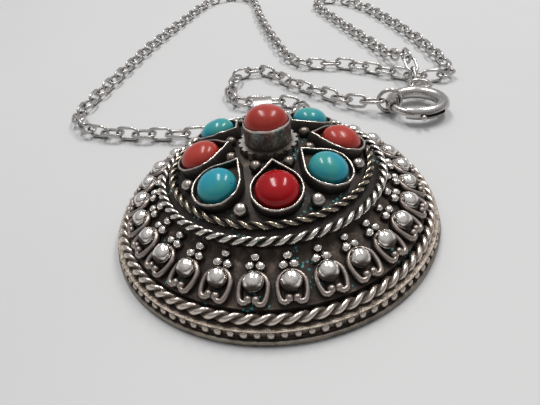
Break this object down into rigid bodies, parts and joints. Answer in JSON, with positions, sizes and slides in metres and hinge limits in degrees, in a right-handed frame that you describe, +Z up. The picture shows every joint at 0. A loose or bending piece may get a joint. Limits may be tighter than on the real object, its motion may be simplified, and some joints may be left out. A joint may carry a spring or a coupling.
{
  "type": "ghau amulet box",
  "caption": "Round domed ghau amulet box in silver with a lift-off front set with coral and turquoise, bead and rope trim, and a link neck chain through its bail with a spring ring clasp.",
  "frame": {"origin": "centre of the back cover, on its flat outer face, which the box lies on", "axes": "+Z up through the middle of the dome to the centre stone, +Y from the middle of the box to the bail, +X to the right when the bail is at the far side"},
  "size_m": [0.0721, 0.1362, 0.0143],
  "materials": {
    "old_silver": "oxidised silver, dark in the recesses and worn bright on the high points",
    "chain_silver": "grey silver wire, lightly tarnished",
    "red_coral": "polished deep red coral",
    "coral": "polished salmon red coral",
    "turquoise": "polished turquoise with green patches",
    "bedding": "dark resin under the settings"
  },
  "bodies": {
    "base": {"back_cover": "old_silver", "chain_left": "chain_silver", "chain_right": "chain_silver", "clasp_body": "chain_silver", "clasp_eye": "chain_silver", "clasp_spring": "chain_silver", "jump_ring": "chain_silver"},
    "front": {"bail_loop": "old_silver", "bail_saddle": "old_silver", "bezel_1": "old_silver", "bezel_2": "old_silver", "bezel_3": "old_silver", "bezel_4": "old_silver", "bezel_5": "old_silver", "bezel_6": "old_silver", "bezel_7": "old_silver", "bezel_8": "old_silver", "centre_collar": "old_silver", "centre_cup": "old_silver", "centre_stone": "coral", "chain_bail_left": "chain_silver", "chain_bail_right": "chain_silver", "crown_cap": "old_silver", "crown_inner_grains": "old_silver", "crown_outer_grains": "old_silver", "flank_domes": "old_silver", "flank_loops": "old_silver", "flank_pair_grains": "old_silver", "flank_top_grains": "old_silver", "front_case": "old_silver", "inner_rope": "old_silver", "lower_rope": "old_silver", "outer_rope": "old_silver", "rim_beads": "old_silver", "rim_ring": "old_silver", "rim_strip": "old_silver", "setting_beds": "bedding", "stone_1": "red_coral", "stone_2": "turquoise", "stone_3": "coral", "stone_4": "turquoise", "stone_5": "coral", "stone_6": "turquoise", "stone_7": "coral", "stone_8": "turquoise"},
    "bolt": {"clasp_bolt": "chain_silver"}
  },
  "joints": [
    {"name": "front_lift", "type": "slide", "parent": "base", "child": "front", "axis": [0, 0, 1], "range_m": [0, 0.008], "deforming": ["chain_bail_left", "chain_bail_right"]},
    {"name": "clasp_bolt", "type": "hinge", "parent": "base", "child": "bolt", "pos_m": [0.0247, 0.0217, 0.0018], "axis": [0, 0, 1], "range_deg": [0, 42], "stiffness_Nm_per_rad": 0.001, "springref_deg": -17.19, "deforming": ["clasp_spring"]}
  ]
}
